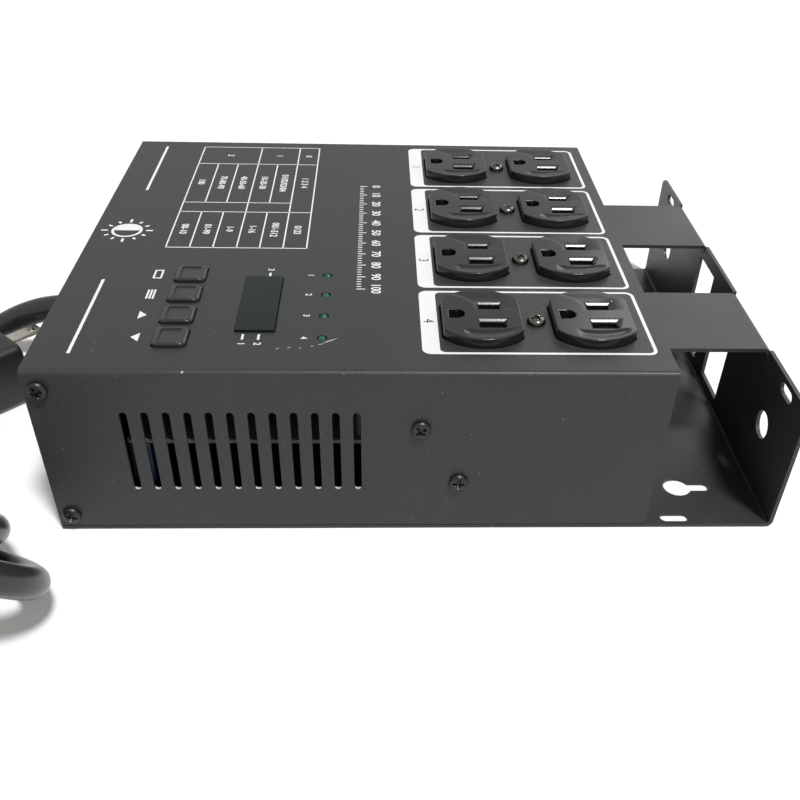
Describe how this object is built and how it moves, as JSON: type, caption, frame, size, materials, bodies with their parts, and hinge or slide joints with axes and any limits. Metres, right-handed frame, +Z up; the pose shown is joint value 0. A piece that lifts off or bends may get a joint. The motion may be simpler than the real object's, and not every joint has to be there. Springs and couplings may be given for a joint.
{
  "type": "dimmer pack",
  "caption": "Flat black steel stage dimmer pack with duplex outlets, keys, display and lamps on top, a drilled clamp bracket at one end and a mains lead with its plug",
  "frame": {"origin": "middle of the underside of the pack with its bracket, cord and plug left out", "axes": "X runs from the signal panel towards the bracket, Y from the front wall to the rear wall, Z up"},
  "size_m": [0.5319, 0.2823, 0.0714],
  "materials": {
    "black_paint": "fine-textured satin black powder coat",
    "outlet_black": "semi-gloss moulded black",
    "moulded_black": "matt moulded black",
    "bright_steel": "zinc plated",
    "black_screw": "black oxide",
    "key_black": "satin moulded black",
    "filter_green": "dark green tinted, glossy",
    "lamp_green": "tinted green lens",
    "board_green": "solder-resist green",
    "core_steel": "varnished laminations",
    "iron_powder": "enamelled ring with its winding",
    "aluminium": "mill finish",
    "button_white": "off-white moulded",
    "cord_rubber": "matt black jacket",
    "plated_brass": "nickel plated, dull"
  },
  "bodies": {
    "case": {"cover": "black_paint", "base_and_bracket": "black_paint", "outlet_end_wall": "black_paint", "outlet_1": "outlet_black", "outlet_2": "outlet_black", "outlet_3": "outlet_black", "outlet_4": "outlet_black", "signal_input": "moulded_black", "signal_output": "moulded_black", "breaker_body": "moulded_black", "display_module": "moulded_black", "triac_1": "moulded_black", "triac_2": "moulded_black", "triac_3": "moulded_black", "triac_4": "moulded_black", "outlet_screw_1": "bright_steel", "outlet_screw_2": "bright_steel", "outlet_screw_3": "bright_steel", "outlet_screw_4": "bright_steel", "outlet_strap_1": "bright_steel", "outlet_strap_2": "bright_steel", "outlet_strap_3": "bright_steel", "outlet_strap_4": "bright_steel", "breaker_nut": "bright_steel", "cover_screw_front_1": "black_screw", "cover_screw_front_2": "black_screw", "cover_screw_rear_1": "black_screw", "cover_screw_rear_2": "black_screw", "heat_sink_screw_front_1": "black_screw", "heat_sink_screw_front_2": "black_screw", "heat_sink_screw_rear_1": "black_screw", "heat_sink_screw_rear_2": "black_screw", "display_filter": "filter_green", "channel_lamp_1": "lamp_green", "channel_lamp_2": "lamp_green", "channel_lamp_3": "lamp_green", "channel_lamp_4": "lamp_green", "control_board": "board_green", "power_board": "board_green", "transformer": "core_steel", "filter_choke_1": "iron_powder", "filter_choke_2": "iron_powder", "filter_choke_3": "iron_powder", "filter_choke_4": "iron_powder", "heat_sink_front": "aluminium", "heat_sink_rear": "aluminium", "strain_relief": "cord_rubber", "mains_lead": "cord_rubber", "lead_hank": "cord_rubber", "plug_lead": "cord_rubber", "plug": "cord_rubber", "line_blade": "plated_brass", "neutral_blade": "plated_brass", "earth_pin": "plated_brass"},
    "breaker_reset_button": {"breaker_reset_button": "button_white"},
    "key_1": {"key_1": "key_black"},
    "key_2": {"key_2": "key_black"},
    "key_3": {"key_3": "key_black"},
    "key_4": {"key_4": "key_black"},
    "output_latch": {"output_latch": "bright_steel"}
  },
  "joints": [
    {"name": "key_1_press", "type": "slide", "parent": "case", "child": "key_1", "axis": [0, 0, -1], "range_m": [0, 0.0008], "stiffness_N_per_m": 400},
    {"name": "key_2_press", "type": "slide", "parent": "case", "child": "key_2", "axis": [0, 0, -1], "range_m": [0, 0.0008], "stiffness_N_per_m": 400},
    {"name": "key_3_press", "type": "slide", "parent": "case", "child": "key_3", "axis": [0, 0, -1], "range_m": [0, 0.0008], "stiffness_N_per_m": 400},
    {"name": "key_4_press", "type": "slide", "parent": "case", "child": "key_4", "axis": [0, 0, -1], "range_m": [0, 0.0008], "stiffness_N_per_m": 400},
    {"name": "output_latch_press", "type": "slide", "parent": "case", "child": "output_latch", "axis": [0, 0, -1], "range_m": [0, 0.0012], "stiffness_N_per_m": 400, "springref_m": -0.0005},
    {"name": "breaker_reset", "type": "slide", "parent": "case", "child": "breaker_reset_button", "axis": [-1, 0, 0], "range_m": [0, 0.0035]}
  ]
}
